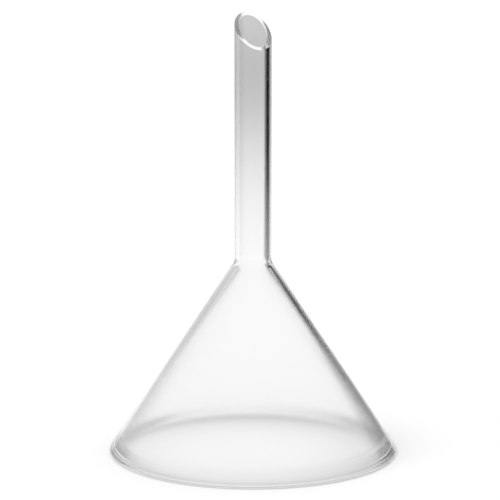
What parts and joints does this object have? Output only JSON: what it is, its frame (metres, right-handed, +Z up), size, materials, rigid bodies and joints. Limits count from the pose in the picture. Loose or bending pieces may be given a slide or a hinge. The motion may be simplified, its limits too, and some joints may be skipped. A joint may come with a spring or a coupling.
{
  "type": "conical filter funnel",
  "caption": "Clear glass laboratory filter funnel: a wide cone with a rounded rim and a short stem cut on a slant, for holding a folded filter paper or pouring liquids.",
  "frame": {"origin": "centre of the mouth, level with the foot of the rim that the funnel stands on", "axes": "+Z up the middle of the stem, from the mouth to the tip; the slanting cut of the tip opens towards -Y"},
  "size_m": [0.075, 0.075, 0.1145],
  "materials": {
    "glass": "clear, flame-polished"
  },
  "bodies": {
    "root": {"funnel": "glass"}
  },
  "joints": []
}
